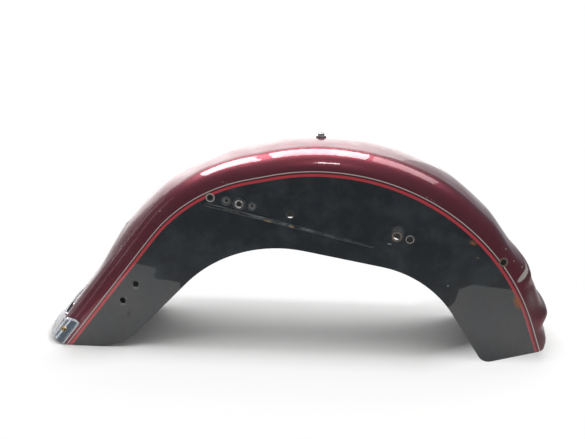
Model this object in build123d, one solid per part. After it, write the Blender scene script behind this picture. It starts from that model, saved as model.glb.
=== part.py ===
from build123d import *
import os
from math import acos, asin, atan2, ceil, cos, hypot, pi, radians, sin

# Sheet and cross-section
width = 200.0
sheet = 1.6
crown_radius = 400.0
side_depth = 178.0

# Shoulder line on the side, from the tail to the front
tail_angle = 51.4
tail_below_ground = 43.0
tail_length = 271.0
rear_radius = 290.0
top_angle = 11.5
top_length = 42.0
front_radius = 390.0
front_angle = 70.3
front_length = 90.0

# Crown height above the shoulder line, and how far from the ground at the tail each one lies
tail_rise, tail_rise_at = 56.0, -43.0
flare_rise, flare_rise_at = 53.0, 0.0
waist_rise, waist_start_at, waist_end_at = 50.0, 50.0, 105.0
swell_rise, swell_rise_at = 61.0, 232.0
swell_end_rise, swell_end_at = 57.0, 317.0
crown_rise, crown_start_at, crown_end_at = 48.0, 400.0, 777.0
front_rise, front_rise_at = 43.8, 887.0
dip_rise, dip_rise_at = 38.6, 953.0
step_rise, step_rise_at = 44.7, 1002.0
recess_rise, recess_start_at, recess_end_at = 40.4, 1013.0, 1054.0
bead_rise, bead_rise_at = 47.0, 1072.0
groove_rise, groove_rise_at = 31.7, 1092.0
lip_rise, lip_rise_at = 33.0, 1113.0
end_rise, end_rise_at = 20.0, 1140.0
section_spacing = 10.0

# Lower edge of the sides, with x from where the shoulder line meets the ground
tail_cut_at = -5.0
tail_cut_angle = 17.0
arch_start = 98.0
arch_peak_x, arch_peak_z = 311.0, 219.5
arch_bend_x, arch_bend_z = 650.0, 156.5
arch_front_angle = 57.5
foot_slope = 15.5
arch_start_radius = 110.0
arch_peak_radius = 235.0
arch_bend_radius = 190.0
foot_radius = 20.0

# Slanted row of holes on each side
row_x, row_z = 272.5, 288.5
row_angle = 10.9
strap_hole, strap_hole_at = 9.5, 0.0
weld_hole = 9.0
first_weld_at, second_weld_at = 28.0, 73.5
bushing_at = 51.0
wire_hole, wire_hole_at = 13.3, 140.0
support_hole = 11.0
first_support_at, second_support_at = 325.5, 348.0

# Other holes on each side
strut_hole = 11.0
strut_x, strut_z = 105.6, 93.0
strut_pitch = 41.5
front_hole = 10.0
front_hole_x, front_hole_z = 773.0, 186.0

# Slanted pressed bead below the row
bead_height = 1.5
bead_width = 7.0
bead_x, bead_z = 264.0, 276.5
bead_angle = 13.2
bead_length = 295.0

# Lamp seat pressed flat into the crown
lamp_at = 264.0
lamp_length = 82.0
lamp_width = 60.0
lamp_depth = 5.0
lamp_corner = 16.0
lamp_edge = 0.4
lamp_wire_hole = 20.0
lamp_bolt_hole = 7.0
lamp_bolt_pitch = 48.0

# Slots in the crown near the tail
slot_at = 75.0
slot_length = 30.0
slot_width = 9.0
slot_pitch = 84.0

# Bright tip that wraps the tail
trim_gap = 0.3
trim_sheet = 1.2
trim_rim_height = 1.0
trim_rim_width = 4.0
trim_lower_rise = 11.5
trim_skirt = 0.5
trim_lobe_at, trim_lobe_y = 49.5, 98.5
trim_bend_at, trim_bend_y = 28.0, 81.0
trim_dip_at, trim_dip_y = 24.0, 65.0
trim_tongue_at, trim_tongue_y = 43.0, 46.0
trim_lobe_radius = 4.0
trim_dip_radius = 12.0
rivet_at, rivet_rise = 12.0, 28.5
rivet_shank = 5.0
rivet_bore = 3.0
rivet_head, rivet_head_height = 9.0, 1.2
rivet_clearance = 0.1
rivet_seat_gap = 0.3

# Seat nut on top of the crown
seat_barrel = 9.6
seat_bore = 5.0
seat_flange, seat_flange_height = 18.5, 2.4
seat_dome, seat_dome_height = 12.0, 4.6
seat_clearance = 0.2
seat_gap = 0.25
seat_washer, seat_washer_height = 20.0, 1.4
seat_tail = 2.0

# Bushing, its washer and the weld nuts
bushing_outer = 16.0
bushing_bore = 9.5
bushing_collar, bushing_collar_height = 22.0, 2.0
bushing_clearance = 0.15
side_washer, side_washer_height = 24.0, 1.8
bushing_proud = 0.7
weld_nut_outer, weld_nut_height = 15.0, 7.0
weld_nut_bore = 6.8

half = width / 2
reach = 2 * (front_radius + rear_radius)


def smooth(fraction):
    return (1 - cos(pi * fraction)) / 2


rises = [
    (tail_rise_at, tail_rise),
    (flare_rise_at, flare_rise),
    (waist_start_at, waist_rise),
    (waist_end_at, waist_rise),
    (swell_rise_at, swell_rise),
    (swell_end_at, swell_end_rise),
    (crown_start_at, crown_rise),
    (crown_end_at, crown_rise),
    (front_rise_at, front_rise),
    (dip_rise_at, dip_rise),
    (step_rise_at, step_rise),
    (recess_start_at, recess_rise),
    (recess_end_at, recess_rise),
    (bead_rise_at, bead_rise),
    (groove_rise_at, groove_rise),
    (lip_rise_at, lip_rise),
    (end_rise_at, end_rise),
]


def rise_at(station):
    if station <= rises[0][0]:
        return rises[0][1]
    for (start, low), (end, high) in zip(rises, rises[1:]):
        if station <= end:
            return low + (high - low) * smooth((station - start) / (end - start))
    return rises[-1][1]


# Shoulder line as a chain of straights and arcs: length, turn per millimetre
chain = [
    (tail_length, 0.0),
    (rear_radius * radians(tail_angle - top_angle), 1 / rear_radius),
    (top_length, 0.0),
    (front_radius * radians(top_angle + front_angle), 1 / front_radius),
    (front_length, 0.0),
]
path_end = sum(length for length, turn in chain)


def path_at(station):
    x, z, heading = 0.0, 0.0, radians(tail_angle)
    left = station
    for number, (length, turn) in enumerate(chain):
        step = left if number == len(chain) - 1 or left < length else length
        if turn:
            x += (sin(heading) - sin(heading - turn * step)) / turn
            z += (cos(heading - turn * step) - cos(heading)) / turn
            heading -= turn * step
        else:
            x += step * cos(heading)
            z += step * sin(heading)
        left -= step
        if left <= 0:
            break
    return x, z, heading


def path_plane(station):
    x, z, heading = path_at(station)
    return Plane(origin=(x, 0, z), x_dir=(0, 1, 0), z_dir=(cos(heading), 0, sin(heading)))


# Shoulder radius and centre, and the crown's radius: where the crown swells, the shoulders stay as they are
def arcs(rise):
    usual = min(rise, crown_rise)
    radius = (crown_radius**2 - (crown_radius - usual) ** 2 - half**2) / (2 * (crown_radius - half))
    centre = half - radius
    crown = (rise**2 + centre**2 - radius**2) / (2 * (rise - radius))
    return radius, centre, crown


def profile(station, grow, depth):
    rise = rise_at(station)
    radius, centre, crown = arcs(rise)
    lean = atan2(crown - rise, centre)
    bend = radius + grow
    edge = half + grow
    meet = (centre + bend * cos(lean), bend * sin(lean))
    middle = (centre + bend * cos(lean / 2), bend * sin(lean / 2))
    return [
        Line((-edge, -depth), (-edge, 0)),
        ThreePointArc((-edge, 0), (-middle[0], middle[1]), (-meet[0], meet[1])),
        ThreePointArc((-meet[0], meet[1]), (0, rise + grow), meet),
        ThreePointArc(meet, middle, (edge, 0)),
        Line((edge, 0), (edge, -depth)),
    ]


# Section of one sheet whose faces lie at two offsets from the outer form
def sheet_section(station, low, high, depth):
    outer = profile(station, high, depth)
    inner = profile(station, low, depth)
    ends = [Line(outer[0] @ 0, inner[0] @ 0), Line(outer[-1] @ 1, inner[-1] @ 1)]
    return path_plane(station) * make_face(outer + inner + ends)


def solid_section(station, grow, depth):
    outline = profile(station, grow, depth)
    return path_plane(station) * make_face(outline + [Line(outline[-1] @ 1, outline[0] @ 0)])


section_count = ceil((path_end + tail_below_ground) / section_spacing)
section_step = (path_end + tail_below_ground) / section_count
stations = [-tail_below_ground + section_step * number for number in range(section_count + 1)]


def sheet_channel(low, high, depth, last):
    places = [place for place in stations if place <= last]
    return loft([sheet_section(place, low, high, depth) for place in places])


def side_prism(points, radii):
    face = make_face(Polyline(*points, close=True))
    for point, radius in radii:
        corner = face.vertices().sort_by_distance((point[0], point[1], 0))[0]
        face = fillet(corner, radius)
    return extrude(Plane.XZ * face, reach, both=True)


# Everything above the lower edge, tail cut, arch, foot and front cut
def above_edge(lift):
    fall = radians(arch_front_angle)
    climb = radians(foot_slope)
    inward = (cos(climb) - cos(fall), sin(climb) + sin(fall))
    spread = hypot(*inward)
    half_corner = acos((-cos(fall) * inward[0] + sin(fall) * inward[1]) / spread)
    foot_z = foot_radius * (1 - inward[1] / spread / sin(half_corner))
    foot = (arch_bend_x + (arch_bend_z - foot_z) * cos(fall) / sin(fall), foot_z)
    start, peak = (arch_start, 0), (arch_peak_x, arch_peak_z)
    bend = (arch_bend_x, arch_bend_z)
    lean = radians(tail_cut_angle)
    points = [
        (-reach, reach),
        (-reach, (reach + tail_cut_at) * sin(lean) / cos(lean) + lift),
        (tail_cut_at, lift),
        start,
        peak,
        bend,
        foot,
        (foot[0] + reach, foot_z + reach * sin(climb) / cos(climb)),
        (foot[0] + reach, reach),
    ]
    return side_prism(points, [
        (start, arch_start_radius),
        (peak, arch_peak_radius),
        (bend, arch_bend_radius),
        (foot, foot_radius),
    ])


# Flat local frame on the crown, x along the path and z outwards
def crown_plane(station, height):
    x, z, heading = path_at(station)
    out = (-sin(heading), 0, cos(heading))
    return Plane(
        origin=(x + height * out[0], 0, z + height * out[2]),
        x_dir=(cos(heading), 0, sin(heading)),
        z_dir=out,
    )


def row_point(distance):
    lean = radians(row_angle)
    return row_x + distance * cos(lean), row_z - distance * sin(lean)


def side_cylinder(point, diameter, low, high):
    return Pos(point[0], low, point[1]) * (
        Rot(-90, 0, 0) * Cylinder(diameter / 2, high - low, align=(Align.CENTER, Align.CENTER, Align.MIN))
    )


def through(point, diameter):
    return side_cylinder(point, diameter, -reach, reach)


def both_sides(solid):
    return [solid, mirror(solid, Plane.XZ)]


# Lamp seat: floor and walls of the same sheet, ended just under the crown's outer face
def lamp_prism(grow):
    floor = rise_at(lamp_at) - lamp_depth - grow
    outline = RectangleRounded(lamp_length + 2 * grow, lamp_width + 2 * grow, lamp_corner + grow)
    return extrude(crown_plane(lamp_at, floor) * outline, crown_rise)


def lamp_seat():
    near = lamp_length / 2 + 2 * section_spacing
    places = [place for place in stations if abs(place - lamp_at) < near]
    crown = loft([solid_section(place, -lamp_edge, trim_skirt) for place in places])
    return (lamp_prism(sheet) & crown) - lamp_prism(0)


# Half-round bar along each bead, sunk so that only the bead stands out
def bead_bars(grow):
    bar = (bead_height**2 + (bead_width / 2) ** 2) / (2 * bead_height)
    sink = bar - bead_height
    lean = radians(bead_angle)
    ends = [
        (bead_x, -half + sink, bead_z),
        (bead_x + bead_length * cos(lean), -half + sink, bead_z - bead_length * sin(lean)),
    ]
    along = Vector(*ends[1]) - Vector(*ends[0])
    rod = extrude(Plane(origin=ends[0], z_dir=along) * Circle(bar + grow), bead_length)
    return rod + [Pos(*end) * Sphere(bar + grow) for end in ends]


def bead_ridges():
    block = Box(2 * reach, width, 2 * reach, align=(Align.CENTER, Align.MAX, Align.CENTER))
    slab = Pos(0, -half + sheet, 0) * block
    return both_sides(bead_bars(0) & slab)


# Rivet axis on the shoulder of the tip
def rivet_plane():
    radius, centre = arcs(rise_at(rivet_at))[:2]
    lean = asin(rivet_rise / radius)
    skin = radius + trim_gap + trim_sheet
    x, z, heading = path_at(rivet_at)
    out = Vector(-sin(heading) * sin(lean), -cos(lean), cos(heading) * sin(lean))
    foot = skin * sin(lean)
    place = (x - foot * sin(heading), -(centre + skin * cos(lean)), z + foot * cos(heading))
    return Plane(origin=place, x_dir=(cos(heading), 0, sin(heading)), z_dir=out)


def upright(plane, diameter, low, high):
    return extrude(plane.offset(low) * Circle(diameter / 2), high - low)


seat_station = tail_length + chain[1][0] + top_length + front_radius * radians(top_angle)
seat_plane = crown_plane(seat_station, crown_rise)
rivet_stack = trim_sheet + trim_gap + sheet


# One pressed sheet, trimmed, embossed and pierced
def fender_shell():
    shell = sheet_channel(-sheet, 0, side_depth, path_end) & above_edge(0)
    shell = shell - lamp_prism(sheet) + lamp_seat()
    shell = shell + bead_ridges() - both_sides(bead_bars(-sheet))
    strut_lean = radians(tail_angle)
    upper_strut = (strut_x + strut_pitch * cos(strut_lean), strut_z + strut_pitch * sin(strut_lean))
    side_holes = [
        (row_point(strap_hole_at), strap_hole),
        (row_point(first_weld_at), weld_hole),
        (row_point(bushing_at), bushing_outer + 2 * bushing_clearance),
        (row_point(second_weld_at), weld_hole),
        (row_point(wire_hole_at), wire_hole),
        (row_point(first_support_at), support_hole),
        (row_point(second_support_at), support_hole),
        ((strut_x, strut_z), strut_hole),
        (upper_strut, strut_hole),
        ((front_hole_x, front_hole_z), front_hole),
    ]
    shell = shell - [through(point, diameter) for point, diameter in side_holes]
    lamp_plane = crown_plane(lamp_at, rise_at(lamp_at))
    lamp_holes = [upright(lamp_plane, lamp_wire_hole, -crown_rise, crown_rise)]
    for place in GridLocations(lamp_bolt_pitch, 0, 2, 1):
        bolt_plane = Plane(lamp_plane * place)
        lamp_holes.append(upright(bolt_plane, lamp_bolt_hole, -crown_rise, crown_rise))
    slot_plane = crown_plane(slot_at, rise_at(slot_at))
    slots = [
        extrude(slot_plane * place * SlotOverall(slot_length, slot_width), crown_rise, both=True)
        for place in GridLocations(0, slot_pitch, 1, 2)
    ]
    seat_hole = upright(seat_plane, seat_barrel + 2 * seat_clearance, -crown_rise, crown_rise)
    rivet_hole = upright(rivet_plane(), rivet_shank + 2 * rivet_clearance, -rivet_rise, rivet_rise)
    return shell - lamp_holes - slots - seat_hole - both_sides(rivet_hole)


# Outline of the tip across the tail, drawn flat and carried up along the crown's normal
def trim_window(inset):
    points = [
        (-tail_length, -width),
        (trim_lobe_at - inset, -width),
        (trim_lobe_at - inset, -trim_lobe_y),
        (trim_bend_at - inset, -trim_bend_y),
        (trim_dip_at - inset, -trim_dip_y),
        (trim_tongue_at - inset, -trim_tongue_y),
    ]
    points = points + [(x, -y) for x, y in reversed(points)]
    face = make_face(Polyline(*points, close=True))
    radii = [trim_lobe_radius, trim_dip_radius, trim_dip_radius, trim_dip_radius]
    for (x, y), radius in zip(points[2:6], radii):
        for side in (y, -y):
            corner = face.vertices().sort_by_distance((x, side, 0))[0]
            face = fillet(corner, radius)
    return extrude(crown_plane(0, trim_lower_rise + inset) * face, side_depth)


def tip_trim():
    last = trim_lobe_at + 2 * section_spacing
    top = trim_gap + trim_sheet
    window = trim_window(0) & above_edge(0)
    panel = sheet_channel(trim_gap, top, trim_skirt, last) & window
    middle = trim_window(trim_rim_width) & above_edge(trim_rim_width)
    rim = (sheet_channel(trim_gap, top + trim_rim_height, trim_skirt, last) & window) - middle
    hole = upright(rivet_plane(), rivet_shank + 2 * rivet_clearance, -rivet_rise, rivet_rise)
    return panel + rim - both_sides(hole)


def tip_trim_rivets():
    plane = rivet_plane().offset(rivet_seat_gap)
    tail = -rivet_stack - 2 * rivet_seat_gap
    rivet = upright(plane, rivet_head, 0, rivet_head_height)
    rivet += upright(plane, rivet_shank, tail - rivet_head_height, 0)
    rivet += upright(plane, rivet_head - rivet_head_height, tail - rivet_head_height, tail)
    rivet -= upright(plane, rivet_bore, tail - 2 * rivet_head_height, 2 * rivet_head_height)
    return Compound(children=both_sides(rivet))


def seat_nut():
    plane = seat_plane.offset(seat_gap)
    barrel = sheet + 2 * seat_gap + seat_washer_height + seat_tail
    nut = upright(plane, seat_flange, 0, seat_flange_height)
    dome = upright(plane, seat_dome, seat_flange_height, seat_flange_height + seat_dome_height)
    nut += fillet(dome.faces().sort_by(Axis.Z)[-1].edges(), seat_dome_height / 3)
    nut += upright(plane, seat_barrel, -barrel, 0)
    return nut - upright(plane, seat_bore, -2 * barrel, 2 * barrel)


def seat_nut_washer():
    plane = seat_plane.offset(-sheet - seat_gap)
    ring = upright(plane, seat_washer, -seat_washer_height, 0)
    bore = seat_barrel + 2 * seat_clearance
    return ring - upright(plane, bore, -2 * seat_washer_height, seat_washer_height)


def support_bushings():
    place = row_point(bushing_at)
    face = -half - side_washer_height - bushing_proud
    inside = -half + sheet
    sleeve = side_cylinder(place, bushing_outer, face, inside + bushing_collar_height)
    sleeve += side_cylinder(place, bushing_collar, inside, inside + bushing_collar_height)
    return Compound(children=both_sides(sleeve - side_cylinder(place, bushing_bore, -reach, reach)))


def support_washers():
    place = row_point(bushing_at)
    ring = side_cylinder(place, side_washer, -half - side_washer_height, -half)
    return Compound(children=both_sides(ring - through(place, bushing_outer + 2 * bushing_clearance)))


def strut_weld_nuts():
    nuts = []
    for distance in (first_weld_at, second_weld_at):
        place = row_point(distance)
        inside = -half + sheet
        nut = side_cylinder(place, weld_nut_outer, inside, inside + weld_nut_height)
        nuts += both_sides(nut - through(place, weld_nut_bore))
    return Compound(children=nuts)


pieces = {
    "fender_shell": fender_shell(),
    "tip_trim": tip_trim(),
    "tip_trim_rivets": tip_trim_rivets(),
    "seat_nut": seat_nut(),
    "seat_nut_washer": seat_nut_washer(),
    "support_bushings": support_bushings(),
    "support_washers": support_washers(),
    "strut_weld_nuts": strut_weld_nuts(),
}

# The origin is the bottom centre of the whole piece
box = Compound(children=[Compound(solid.solids()) for solid in pieces.values()]).bounding_box()
home = Pos(-box.center().X, 0, -box.min.Z)
os.makedirs("parts", exist_ok=True)
for name, solid in pieces.items():
    export_step(home * Compound(solid.solids()), f"parts/{name}.step")
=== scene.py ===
import bpy
import math
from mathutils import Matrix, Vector

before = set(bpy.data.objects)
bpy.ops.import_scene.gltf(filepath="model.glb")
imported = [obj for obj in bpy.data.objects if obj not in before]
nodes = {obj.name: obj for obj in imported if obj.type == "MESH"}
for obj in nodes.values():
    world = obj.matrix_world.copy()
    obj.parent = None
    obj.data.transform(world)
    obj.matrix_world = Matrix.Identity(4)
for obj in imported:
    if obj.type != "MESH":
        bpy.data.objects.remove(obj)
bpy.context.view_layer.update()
bpy.ops.object.select_all(action="DESELECT")
scene = bpy.context.scene
scene.view_settings.view_transform = "Standard"
print("frame loaded:", sorted(nodes))

cameraSpec = {
    "place": (0.10936, -1.2435, 0.5889),
    "down": 16.3,
    "turn": 5.0,
    "lens": 43.08,
}


def addCamera(spec):
    tilt = (math.radians(90 - spec["down"]), 0, math.radians(spec["turn"]))
    bpy.ops.object.camera_add(location=spec["place"], rotation=tilt)
    camera = bpy.context.object
    camera.data.lens = spec["lens"]
    scene.camera = camera


addCamera(cameraSpec)
print("camera set")


class Wire:  # one socket, with maths written on it
    def __init__(self, tree, socket=None):
        self.tree = tree
        self.socket = socket

    def node(self, kind, settings=None, values=None, out=0):
        made = self.tree.nodes.new(kind)
        for key, value in (settings or {}).items():
            setattr(made, key, value)
        for key, value in (values or {}).items():
            if isinstance(value, Wire):
                self.tree.links.new(value.socket, made.inputs[key])
            else:
                made.inputs[key].default_value = value
        return Wire(self.tree, made.outputs[out])

    def math(self, operation, first, second=0.0):
        return self.node("ShaderNodeMath", {"operation": operation}, {0: first, 1: second})

    def __add__(self, other):
        return self.math("ADD", self, other)

    __radd__ = __add__

    def __sub__(self, other):
        return self.math("SUBTRACT", self, other)

    def __rsub__(self, other):
        return self.math("SUBTRACT", other, self)

    def __mul__(self, other):
        return self.math("MULTIPLY", self, other)

    def __truediv__(self, other):
        return self.math("DIVIDE", self, other)

    def __gt__(self, other):
        return self.math("GREATER_THAN", self, other)

    def __abs__(self):
        return self.math("ABSOLUTE", self)

    def most(self, other):
        return self.math("MAXIMUM", self, other)

    def ramp(self, low, high, bottom=0.0, top=1.0):  # straight change, held at both ends
        values = {"Value": self, "From Min": low, "From Max": high, "To Min": bottom, "To Max": top}
        return self.node("ShaderNodeMapRange", {"clamp": True}, values)

    def blend(self, other, mask):  # numbers: self where the mask is 0
        return self + (other - self) * mask


def newMaterial(name):
    material = bpy.data.materials.new(name)
    material.use_nodes = True
    tree = material.node_tree
    tree.nodes.clear()
    output = tree.nodes.new("ShaderNodeOutputMaterial")
    return material, Wire(tree), output


def shade(wire, output, values):
    shader = wire.node("ShaderNodeBsdfPrincipled", None, values)
    wire.tree.links.new(shader.socket, output.inputs["Surface"])


def tint(wire, base, other, mask):  # colours: base where the mask is 0
    values = {"Factor": mask, 6: base, 7: other}  # the mix node's colour sockets
    return wire.node("ShaderNodeMix", {"data_type": "RGBA"}, values, 2)


def split(wire, vector):
    parts = wire.tree.nodes.new("ShaderNodeSeparateXYZ")
    wire.tree.links.new(vector.socket, parts.inputs[0])
    return [Wire(wire.tree, socket) for socket in parts.outputs]


def coordinate(wire, kind):
    return wire.node("ShaderNodeTexCoord", None, None, kind)


def placeOf(wire):  # coordinates, and millimetres from the origin
    coordinates = coordinate(wire, "Object")
    return coordinates, [part * 1000.0 for part in split(wire, coordinates)]


def noise(wire, coordinates, scale, detail, rough=0.55):
    values = {"Vector": coordinates, "Scale": scale, "Detail": detail, "Roughness": rough}
    return wire.node("ShaderNodeTexNoise", None, values)


def distance(wire, x, z, spot):
    dx = x - spot[0]
    dz = z - spot[1]
    return wire.math("SQRT", dx * dx + dz * dz)


def leaning(x, z, start, degrees):  # along and across a line on the side
    lean = math.radians(degrees)
    dx = x - start[0]
    dz = z - start[1]
    along = dx * math.cos(lean) + dz * math.sin(lean)
    across = dz * math.cos(lean) - dx * math.sin(lean)
    return along, across


shoulderLine = [  # straights and arcs, millimetres: where each starts and its slope there
    {"start": (-404.74, 0.0), "angle": 51.4},
    {"start": (-235.66, 211.79), "angle": 51.4, "centre": (-9.02, 30.87), "radius": 290.0},
    {"start": (-66.84, 315.05), "angle": 11.5},
    {"start": (-25.68, 323.42), "angle": 11.5, "centre": (52.07, -58.75), "radius": 390.0},
    {"start": (419.24, 72.72), "angle": -70.3},
]


def heightOverShoulder(wire, x, z):  # millimetres above the shoulder line, along its own normal
    height = None
    for run in shoulderLine:
        along, own = leaning(x, z, run["start"], run["angle"])
        if "centre" in run:
            own = distance(wire, x, z, run["centre"]) - run["radius"]
        height = own if height is None else height.blend(own, along > 0.0)
    return height


paintSpec = {  # lengths in millimetres; four numbers: from, to, and the values there
    "black": (0.0045, 0.0052, 0.0062, 1),
    "haze": (0.026, 0.031, 0.035, 1),
    "burgundy": (0.182, 0.029, 0.044, 1),
    "red": (0.44, 0.022, 0.032, 1),
    "dullRed": (0.23, 0.022, 0.028, 1),
    "grey": (0.42, 0.385, 0.35, 1),
    "primer": (0.085, 0.082, 0.08, 1),
    "dust": (0.085, 0.066, 0.067, 1),
    "redHalf": 2.3,
    "greyHalf": 0.8,
    "greyPlace": (-300.0, 430.0, 5.8, 6.3),
    "edge": 0.35,
    "film": (19.0, 6.0, 0.62),  # noises: scale, detail, roughness
    "broken": (420.0, 4.0, 0.65),
    "flake": (2600.0, 1.0),
    "peel": (240.0, 2.0),
    "waves": (11.0, 1.5),
    "hazeShare": (0.44, 0.64, 0.0, 0.8),
    "dustyEnd": (390.0, 430.0),
    "dustShare": (0.35, 0.65, 0.35, 0.75),
    "dullShare": (330.0, 430.0, 0.0, 0.7),
    "nearSide": (-4.0, 0.0, 1.0, 0.0),
    "middle": (20.0, -40.0),  # the inside faces this place
    "reach": 300.0,
    "halfWidth": 100.0,
    "inside": (-0.04, 0.04, 1.0, 0.0),
    "scuffedEnd": (372.0, 425.0),
    "scuffShare": (0.25, 0.5, 0.55, 0.85),
    "scuffRough": 0.7,
    "rough": 0.30,
    "flakeRough": 0.12,
    "wornRough": 0.55,
    "metal": 0.75,
    "peelBump": {"Strength": 0.04, "Distance": 0.0002},
    "wavesBump": {"Strength": 0.25, "Distance": 0.0030},
    "coatFilm": (0.42, 0.62, 1.0, 0.64),
    "coatFront": (270.0, 340.0, 1.0, 0.84),
    "coatGrime": 0.8,
    "coatRough": 0.03,
    "coatIor": 1.6,
}

# colours of wear and stains, and of painted highlights
wearAndGlintColours = {
    # bare steel where the paint is worn, also used for painted highlight crescents
    "bare_metal_and_sheen": (0.36, 0.34, 0.32, 1),
    "dim": (0.085, 0.085, 0.085, 1),
    "rust": (0.24, 0.085, 0.024, 1),
    "tan": (0.26, 0.18, 0.11, 1),
    "painted_glint": (0.62, 0.58, 0.56, 1),
    # painted highlight: the colour of small glints on the gloss
    "dust": (0.16, 0.12, 0.125, 1),
    "brown": (0.12, 0.088, 0.06, 1),
    # worn paint and painted highlight along the bead
    "scuff_and_highlight": (0.30, 0.31, 0.32, 1),
    "soot": (0.012, 0.012, 0.013, 1),
}

wearAndGlintSpots = [  # near side only, wear and stains and some painted highlights: place and half sizes in millimetres, lean in degrees
    {"at": (-132.2, 288.5), "size": (7.7, 7.7), "colour": "dim", "soft": 0.12, "weight": 0.9},
    {"at": (-132.2, 288.5), "size": (7.0, 7.0), "colour": "bare_metal_and_sheen", "ring": 0.14, "weight": 0.95},
    {"at": (-104.7, 283.2), "size": (8.0, 8.0), "colour": "dim", "soft": 0.2, "weight": 0.5},
    {"at": (-104.7, 283.2), "size": (7.3, 7.3),
     "colour": "dim", "ring": 0.16, "weight": 0.9, "broken": 0.36},
    {"at": (-60.1, 274.6), "size": (7.2, 7.2), "colour": "dim", "soft": 0.2, "weight": 0.45},
    {"at": (-60.1, 274.6), "size": (6.6, 6.6),
     "colour": "dim", "ring": 0.16, "weight": 0.9, "broken": 0.36},
    {"at": (5.2, 262.0), "size": (8.0, 8.0), "colour": "dim", "soft": 0.2, "weight": 0.5},
    {"at": (188.5, 234.0), "size": (12.5, 15.0), "lean": -8.0,
     "colour": "dim", "soft": 0.4, "weight": 0.85, "broken": 0.45},
    {"at": (175.2, 213.9), "size": (4.8, 1.1), "lean": -6.0,
     "colour": "bare_metal_and_sheen", "soft": 0.5, "weight": 0.7},
    {"at": (187.4, 227.0), "size": (8.6, 8.6), "colour": "dim", "soft": 0.2, "weight": 0.9},
    {"at": (187.4, 227.0), "size": (7.8, 7.8),
     "colour": "tan", "ring": 0.14, "weight": 0.7, "broken": 0.40},
    {"at": (209.5, 222.7), "size": (7.6, 7.6), "colour": "brown", "soft": 0.2, "weight": 0.95},
    {"at": (209.5, 222.7), "size": (6.6, 6.6),
     "colour": "bare_metal_and_sheen", "ring": 0.16, "weight": 0.6, "broken": 0.40},
    {"at": (368.3, 186.0), "size": (8.8, 8.8), "colour": "brown", "soft": 0.12, "weight": 0.9},
    {"at": (-32.9, 249.8), "size": (9.0, 2.8), "lean": -13.0,
     "colour": "tan", "soft": 0.6, "weight": 0.9, "broken": 0.40},
    {"at": (7.5, 240.8), "size": (6.0, 3.2), "lean": -13.0,
     "colour": "tan", "soft": 0.6, "weight": 0.9, "broken": 0.40},
    {"at": (397.0, 115.0), "size": (8.0, 16.0), "lean": 18.0,
     "colour": "rust", "soft": 0.7, "weight": 0.9, "broken": 0.34},
    {"at": (314.7, 219.8), "size": (8.5, 5.0), "lean": -25.0,
     "colour": "rust", "soft": 0.7, "weight": 0.75, "broken": 0.40},
    {"at": (324.9, 193.3), "size": (3.6, 2.0), "colour": "tan", "soft": 0.7, "weight": 0.4},
    # painted highlights: small glints and thin glint lines on the gloss
    {"at": (278.0, 140.8), "size": (1.2, 1.2), "colour": "painted_glint", "soft": 0.5, "weight": 0.9},
    {"at": (-292.7, 97.8), "size": (1.4, 1.4), "colour": "painted_glint", "soft": 0.5, "weight": 0.5},
    {"at": (239.0, 294.5), "size": (20.0, 0.45), "lean": -30.0,
     "colour": "painted_glint", "soft": 0.6, "weight": 0.5, "broken": 0.48},
    {"at": (-107.5, 315.5), "size": (11.0, 0.45), "lean": -12.0,
     "colour": "painted_glint", "soft": 0.6, "weight": 0.5, "broken": 0.48},
    {"at": (-223.2, 260.6), "size": (1.3, 1.3), "colour": "painted_glint", "soft": 0.6, "weight": 0.7},
    {"at": (-303.1, 188.8), "size": (1.3, 1.3), "colour": "painted_glint", "soft": 0.6, "weight": 0.6},
    {"at": (372.8, 206.5), "size": (1.3, 1.3), "colour": "painted_glint", "soft": 0.6, "weight": 0.8},
    {"at": (387.7, 185.6), "size": (1.3, 1.3), "colour": "painted_glint", "soft": 0.6, "weight": 0.6},
    {"at": (403.5, 173.1), "size": (2.0, 1.5), "colour": "painted_glint", "soft": 0.6, "weight": 0.5},
    {"at": (406.5, 160.5), "size": (17.0, 5.2), "lean": 38.0,
     "colour": "bare_metal_and_sheen", "soft": 0.25, "weight": 0.85},
    {"at": (422.0, 119.0), "size": (12.0, 24.0), "lean": 12.0,
     "colour": "dust", "soft": 0.9, "weight": 0.6, "broken": 0.30},
    # painted highlights: light crescents below the two holes
    {"at": (-273.4, 118.0), "size": (6.5, 3.2), "colour": "bare_metal_and_sheen", "soft": 0.9, "weight": 0.35},
    {"at": (-299.2, 85.6), "size": (6.5, 3.2), "colour": "bare_metal_and_sheen", "soft": 0.9, "weight": 0.35},
    {"at": (-289.2, 66.5), "size": (5.5, 10.0), "lean": -18.0,
     "colour": "soot", "soft": 1.0, "weight": 0.6},
]

spotEdge = {"ringCore": 0.5, "below": 0.05, "above": 0.08}

beadWearAndHighlight = {
    "start": (-140.7, 276.5),
    "lean": -13.2,
    "line": 0.4,
    "lineShare": (0.6, 2.6, 0.45, 0.0),
    "fadeIn": (15.0, 75.0),
    "fadeOut": (185.0, 295.0, 1.0, 0.0),
    "patchy": (55.0, 4.0, 0.7),
    "patchShare": (0.42, 0.62),
    "brokenShare": (0.30, 0.5),
    "grime": (3.5, 6.0, 0.9, 0.0),
    "grimeStart": (-12.0, -4.0),
    "grimeEnd": (299.0, 305.0, 1.0, 0.0),
}


def spotMask(wire, x, z, spec, broken):
    along, across = leaning(x, z, spec["at"], spec.get("lean", 0.0))
    along = along / spec["size"][0]
    across = across / spec["size"][1]
    reach = wire.math("SQRT", along * along + across * across)
    if "ring" in spec:
        core = spec["ring"] * spotEdge["ringCore"]
        mask = abs(reach - 1.0).ramp(core, spec["ring"], spec["weight"], 0.0)
    else:
        mask = reach.ramp(1.0 - spec["soft"], 1.0, spec["weight"], 0.0)
    if "broken" in spec:
        level = spec["broken"]
        mask = mask * broken.ramp(level - spotEdge["below"], level + spotEdge["above"])
    return mask


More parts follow.
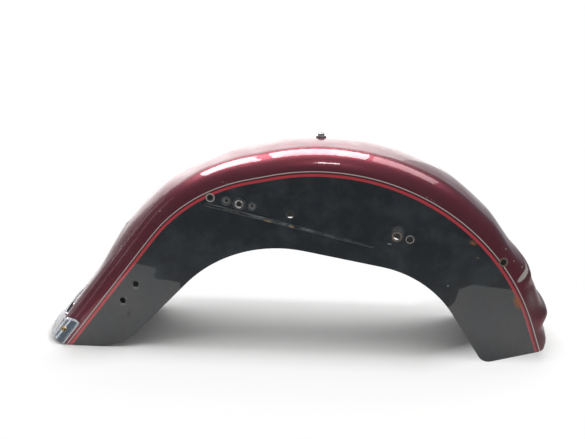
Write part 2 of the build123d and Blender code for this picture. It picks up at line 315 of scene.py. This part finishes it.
def beadMasks(wire, x, z, spec, broken):  # the pressed bead's upper edge, worn and with a painted highlight, and its dull paint
    along, across = leaning(x, z, spec["start"], spec["lean"])
    patchy = noise(wire, coordinate(wire, "Object"), *spec["patchy"])
    # a grey line along the bead's upper edge: wear and a painted highlight
    line = abs(across - spec["line"]).ramp(*spec["lineShare"])
    line = line * along.ramp(*spec["fadeIn"]) * along.ramp(*spec["fadeOut"])
    line = line * patchy.ramp(*spec["patchShare"]) * broken.ramp(*spec["brokenShare"])
    grime = abs(across).ramp(*spec["grime"])
    grime = grime * along.ramp(*spec["grimeStart"]) * along.ramp(*spec["grimeEnd"])
    return line, grime


def paintMaterial(spec):
    material, wire, output = newMaterial("two_tone_paint")
    coordinates, (x, y, z) = placeOf(wire)
    turned = split(wire, coordinate(wire, "Normal"))
    height = heightOverShoulder(wire, x, z)
    edge = spec["edge"]
    red = abs(height).ramp(spec["redHalf"] - edge, spec["redHalf"] + edge, 1.0, 0.0)
    grey = abs(height - x.ramp(*spec["greyPlace"]))
    grey = grey.ramp(spec["greyHalf"] - edge, spec["greyHalf"] + edge, 1.0, 0.0)
    crown = height > 0.0
    film = noise(wire, coordinates, *spec["film"])  # hand marks and dust on the gloss
    colour = tint(wire, spec["black"], spec["haze"], film.ramp(*spec["hazeShare"]))
    colour = tint(wire, colour, spec["burgundy"], crown)
    dusty = x.ramp(*spec["dustyEnd"]) * crown * film.ramp(*spec["dustShare"])
    colour = tint(wire, colour, spec["dust"], dusty)
    stripe = tint(wire, spec["red"], spec["dullRed"], x.ramp(*spec["dullShare"]))
    colour = tint(wire, colour, stripe, red)
    colour = tint(wire, colour, spec["grey"], grey)
    near = y.ramp(*spec["nearSide"])
    broken = noise(wire, coordinates, *spec["broken"])
    line, grime = beadMasks(wire, x, z, beadWearAndHighlight, broken)
    # wear, stains and painted highlights, tinted in on the near side
    marks = [(spot["colour"], spotMask(wire, x, z, spot, broken)) for spot in wearAndGlintSpots]
    wornAndGlint = None
    for name, mask in marks + [("scuff_and_highlight", line)]:
        mask = mask * near
        colour = tint(wire, colour, wearAndGlintColours[name], mask)
        wornAndGlint = mask if wornAndGlint is None else wornAndGlint.most(mask)
    outward = turned[0] * ((x - spec["middle"][0]) / spec["reach"])
    outward = outward + turned[2] * ((z - spec["middle"][1]) / spec["reach"])
    outward = outward + turned[1] * (y / spec["halfWidth"])
    inside = outward.ramp(*spec["inside"])
    colour = tint(wire, colour, spec["primer"], inside)
    shown = (1.0 - wornAndGlint) * (1.0 - inside)
    flake = noise(wire, coordinates, *spec["flake"])
    scuffed = x.ramp(*spec["scuffedEnd"]) * broken.ramp(*spec["scuffShare"])  # gloss lost in front
    rough = spec["rough"] + flake * spec["flakeRough"]
    rough = rough.blend(spec["wornRough"], (1.0 - shown).most(scuffed * spec["scuffRough"]))
    peel = {"Height": noise(wire, coordinates, *spec["peel"])}
    waves = {"Height": noise(wire, coordinates, *spec["waves"])}
    waves["Normal"] = wire.node("ShaderNodeBump", None, {**spec["peelBump"], **peel})
    coat = shown * film.ramp(*spec["coatFilm"]) * x.ramp(*spec["coatFront"])
    coat = coat * (1.0 - grime * spec["coatGrime"]) * (1.0 - scuffed * crown)
    shade(wire, output, {
        "Base Color": colour,
        "Metallic": crown * (1.0 - red) * (1.0 - grey) * shown * spec["metal"],
        "Roughness": rough,
        "Normal": wire.node("ShaderNodeBump", None, {**spec["wavesBump"], **waves}),
        "Coat Weight": coat,
        "Coat Roughness": spec["coatRough"],
        "Coat IOR": spec["coatIor"],
    })
    return material


chromeSpec = {  # millimetres
    "colour": (0.60, 0.62, 0.66, 1),
    "far": (0.32, 0.33, 0.345, 1),
    "pit": (0.10, 0.09, 0.08, 1),
    "haze": (90.0, 4.0),
    "pits": (700.0, 2.0),
    "pitShare": (0.66, 0.72),
    "rough": (0.4, 0.75, 0.05, 0.20),
    "ridge": 37.0,
    "ridgeLine": (0.0, 2.0, 0.4, 0.0),
    "farFade": 8.0,
    "tilt": (16.0, 34.0, 1.0, 0.0),
    "upperLobe": (81.0, 98.5, 28.0, 49.5),  # upper edge, by the distance from the middle
    "upperDip": (65.0, 81.0, -4.0, 0.0),
    "upperTongue": (46.0, 65.0, 19.0, 0.0),
    "upperInset": 2.0,
    "lowerRim": 13.5,
    "rim": (0.0, 2.3, 0.34, 0.0),
    "bump": {"Strength": 1.0, "Distance": 0.0060},
}


def chromeMaterial(spec):
    material, wire, output = newMaterial("bright_chrome")
    coordinates, (x, y, z) = placeOf(wire)
    haze = noise(wire, coordinates, *spec["haze"])
    pits = noise(wire, coordinates, *spec["pits"])
    height = heightOverShoulder(wire, x, z)
    along, _ = leaning(x, z, shoulderLine[0]["start"], shoulderLine[0]["angle"])
    across = abs(y)
    upper = across.ramp(*spec["upperLobe"]) + across.ramp(*spec["upperDip"])
    upper = upper + across.ramp(*spec["upperTongue"])
    upperRim = abs(upper - along - spec["upperInset"]).ramp(*spec["rim"])
    lowerRim = abs(height - spec["lowerRim"]).ramp(*spec["rim"])
    tilt = height.ramp(*spec["tilt"]) + abs(height - spec["ridge"]).ramp(*spec["ridgeLine"])
    tilt = tilt + upperRim.most(lowerRim)
    far = height.ramp(spec["ridge"], spec["ridge"] + spec["farFade"])
    colour = tint(wire, spec["colour"], spec["far"], far)
    shade(wire, output, {
        "Base Color": tint(wire, colour, spec["pit"], pits.ramp(*spec["pitShare"])),
        "Metallic": 1.0,
        "Roughness": haze.ramp(*spec["rough"]),
        "Normal": wire.node("ShaderNodeBump", None, {**spec["bump"], "Height": tilt}),
    })
    return material


steelGrain = {
    "grain": (300.0, 4.0),
    "stainShare": (0.5, 0.7),
    "ringShare": (0.36, 0.5),
    "ringEdge": 0.4,
    "span": (0.2, 0.8),
    "smoother": 0.1,
    "rougher": 0.12,
}

steelSpec = {
    "plated_steel": {
        "names": ["support_bushings"],
        "colour": (0.10, 0.10, 0.10, 1),
        "stain": (0.07, 0.07, 0.07, 1),
        "rough": 0.34,
        "metal": 0.4,
        "ring": {"at": (-82.2, 278.9), "radius": 6.1, "half": 1.3,
                 "colour": (0.62, 0.60, 0.56, 1)},
    },
    "dull_steel": {
        "names": ["seat_nut_washer", "strut_weld_nuts"],
        "colour": (0.46, 0.46, 0.46, 1),
        "stain": (0.30, 0.28, 0.26, 1),
        "rough": 0.42,
        "metal": 0.3,
    },
    "rusty_brass": {
        "names": ["tip_trim_rivets"],
        "colour": (0.62, 0.47, 0.24, 1),
        "stain": (0.30, 0.15, 0.05, 1),
        "rough": 0.42,
        "metal": 0.8,
    },
    "dark_steel": {
        "names": ["seat_nut"],
        "colour": (0.40, 0.40, 0.41, 1),
        "stain": (0.22, 0.215, 0.21, 1),
        "rough": 0.34,
        "metal": 0.7,
    },
    "black_steel": {
        "names": ["support_washers"],
        "colour": (0.045, 0.047, 0.05, 1),
        "stain": (0.07, 0.07, 0.07, 1),
        "rough": 0.38,
        "metal": 0.5,
        "ring": {"at": (-82.2, 278.9), "radius": 10.4, "half": 0.6,
                 "colour": (0.13, 0.13, 0.13, 1)},
    },
}


def steelMaterial(name, spec):
    material, wire, output = newMaterial(name)
    coordinates, (x, y, z) = placeOf(wire)
    grain = noise(wire, coordinates, *steelGrain["grain"])
    colour = tint(wire, spec["colour"], spec["stain"], grain.ramp(*steelGrain["stainShare"]))
    if "ring" in spec:  # bright worn ring on the flange
        ring, edge = spec["ring"], steelGrain["ringEdge"]
        reach = abs(distance(wire, x, z, ring["at"]) - ring["radius"])
        mask = reach.ramp(ring["half"] - edge, ring["half"] + edge, 1.0, 0.0)
        colour = tint(wire, colour, ring["colour"], mask * grain.ramp(*steelGrain["ringShare"]))
    low, high = spec["rough"] - steelGrain["smoother"], spec["rough"] + steelGrain["rougher"]
    shade(wire, output, {
        "Base Color": colour,
        "Metallic": spec["metal"],
        "Roughness": grain.ramp(*steelGrain["span"], low, high),
    })
    return material


def dress(names, material):
    for name in names:
        slots = nodes[name].data.materials
        slots.clear()
        slots.append(material)


dress(["fender_shell"], paintMaterial(paintSpec))
dress(["tip_trim"], chromeMaterial(chromeSpec))
for name, spec in steelSpec.items():
    dress(spec["names"], steelMaterial(name, spec))
print("materials set")

floorSpec = {  # metres
    "colour": (0.89, 0.885, 0.88, 1),
    "rough": 0.7,
    "specular": 0.2,
    "level": -0.0005,
    "tailShift": (-0.50, -0.28, 0.10, 0.0),  # the shadow is kept further forward at the tail
    "footShift": (0.24, 0.36, 0.0, 0.07),  # and further back at the foot
    "whiteNear": (-0.16, -0.08, 0.75, 0.0),
    "whiteFront": (-0.36, -0.24, 0.25, 0.0),
    "whiteBack": (0.132, 0.165),
    "whiteSides": (0.56, 0.75),
    "corners": [  # the sheet's irregular front edge shows in the gloss of the side
        (-3.0, -0.62), (-0.47, -0.60), (-0.43, -0.55), (-0.36, -0.52), (-0.345, -0.45),
        (-0.28, -0.43), (-0.27, -0.40), (0.20, -0.40), (0.27, -0.36), (0.312, -0.325),
        (0.335, -0.37), (0.352, -0.44), (0.39, -0.475), (0.43, -0.462), (0.47, -0.45),
        (0.54, -0.43), (3.0, -0.43), (3.0, 0.86), (-3.0, 0.13),
    ],
}


def addFloor(spec):
    mesh = bpy.data.meshes.new("pale_floor")
    corners = [(x, y, spec["level"]) for x, y in spec["corners"]]
    mesh.from_pydata(corners, [], [list(range(len(corners)))])
    floor = bpy.data.objects.new("pale_floor", mesh)
    scene.collection.objects.link(floor)
    material, wire, output = newMaterial("pale_floor")
    across, depth = [part / 1000.0 for part in placeOf(wire)[1][:2]]
    depth = depth + across.ramp(*spec["tailShift"]) - across.ramp(*spec["footShift"])
    white = depth.ramp(*spec["whiteNear"]) + depth.ramp(*spec["whiteFront"])
    white = white + depth.ramp(*spec["whiteBack"])
    white = white.most(abs(across).ramp(*spec["whiteSides"]))
    camera = wire.node("ShaderNodeLightPath", None, None, "Is Camera Ray")
    matt = wire.node("ShaderNodeBsdfPrincipled", None, {
        "Base Color": spec["colour"],
        "Roughness": spec["rough"],
        "Specular IOR Level": spec["specular"],
    })
    glow = wire.node("ShaderNodeEmission", None, {"Color": (1, 1, 1, 1), "Strength": 1.0})
    shares = {0: camera * white, 1: matt, 2: glow}  # white to the camera, away from the shadow
    mixed = wire.node("ShaderNodeMixShader", None, shares)
    wire.tree.links.new(mixed.socket, output.inputs["Surface"])
    mesh.materials.append(material)


lampSpec = {  # metres and watts
    "key": {"place": (0.1, -0.25, 1.9), "aim": (0.0, 0.0, 0.1),
            "size": (1.8, 1.2), "power": 20.0, "glossy": False},
    "rear": {"place": (0.45, 0.65, 1.6), "aim": (-0.1, 0.0, 0.1),
             "size": (0.7, 0.7), "power": 8.5, "glossy": False},
    "stripLeft": {"place": (-0.90, 0.22, 1.55), "aim": (-0.90, 0.0, 0.3),
                  "size": (0.74, 0.80), "power": 23.0, "diffuse": False},
    "stripRight": {"place": (-0.01, 0.22, 1.55), "aim": (-0.01, 0.0, 0.3),
                   "size": (0.92, 0.80), "power": 26.0, "diffuse": False},
    "stripFar": {"place": (0.90, 0.22, 1.55), "aim": (0.90, 0.0, 0.3),
                 "size": (0.80, 0.80), "power": 7.0, "diffuse": False},
    "ceiling": {"place": (0.055, -1.31, 1.55), "aim": (0.066, -0.095, 0.35),
                "size": (0.25, 0.14), "power": 2.2, "diffuse": False},
    "backWide": {"place": (-1.1, 1.9, 1.0), "aim": (-1.1, 0.0, 0.6),
                 "size": (2.95, 1.8), "power": 13.0, "diffuse": False},
    "backNear": {"place": (-0.30, 1.9, 1.0), "aim": (-0.30, 0.0, 0.6),
                 "size": (2.12, 1.8), "power": 10.0, "diffuse": False},
    "slitBack": {"place": (-2.4, 0.55, 0.6), "aim": (-0.33, -0.08, 0.2),
                 "size": (0.22, 1.6), "power": 1.0, "diffuse": False},
    "slitFront": {"place": (-2.3, -0.72, 0.7), "aim": (-0.33, -0.08, 0.2),
                  "size": (0.18, 1.6), "power": 0.7, "diffuse": False},
}


def addLamp(name, spec):
    bpy.ops.object.light_add(type="AREA", location=spec["place"])
    lamp = bpy.context.object
    lamp.name = name
    ray = Vector(spec["aim"]) - Vector(spec["place"])
    lamp.rotation_euler = ray.to_track_quat("-Z", "Y").to_euler()
    lamp.data.shape = "RECTANGLE"
    lamp.data.size, lamp.data.size_y = spec["size"]
    lamp.data.energy = spec["power"]
    lamp.visible_camera = False
    lamp.visible_glossy = spec.get("glossy", True)
    lamp.visible_diffuse = spec.get("diffuse", True)


worldSpec = {
    "white": (1.0, 1.0, 1.0, 1),
    "room": (0.136, 0.164, 0.193, 1),
    "wall": (1.0, 1.0, 1.0, 1),
    "wallRight": (0.10, 0.54, 1.0, 0.0),
    "wallLeft": (-0.95, -0.50),
    "wallTop": (0.60, 0.85, 1.0, 0.0),
    "tiny": 0.0001,
    "strength": (0.0, 1.0, 0.60, 1.0),
}


def addWorld(spec):  # white to the camera, a dim room with a white back wall to the gloss
    world = bpy.data.worlds.new("studio")
    scene.world = world
    world.use_nodes = True
    tree = world.node_tree
    tree.nodes.clear()
    wire = Wire(tree)
    path = tree.nodes.new("ShaderNodeLightPath")
    rays = ["Is Glossy Ray", "Is Camera Ray", "Is Transmission Ray"]
    glossy, camera, through = [Wire(tree, path.outputs[ray]) for ray in rays]
    side, back, up = split(wire, coordinate(wire, "Generated"))
    turned = side / wire.math("SQRT", side * side + back * back + spec["tiny"])
    wall = (back > 0.0) * turned.ramp(*spec["wallRight"]) * turned.ramp(*spec["wallLeft"])
    wall = wall * up.ramp(*spec["wallTop"])
    colour = tint(wire, spec["white"], tint(wire, spec["room"], spec["wall"], wall), glossy)
    strength = glossy.most(camera).most(through).ramp(*spec["strength"])
    shader = wire.node("ShaderNodeBackground", None, {"Color": colour, "Strength": strength})
    output = tree.nodes.new("ShaderNodeOutputWorld")
    tree.links.new(shader.socket, output.inputs["Surface"])


addFloor(floorSpec)
for name, spec in lampSpec.items():
    addLamp(name, spec)
addWorld(worldSpec)
print("floor and lights set")
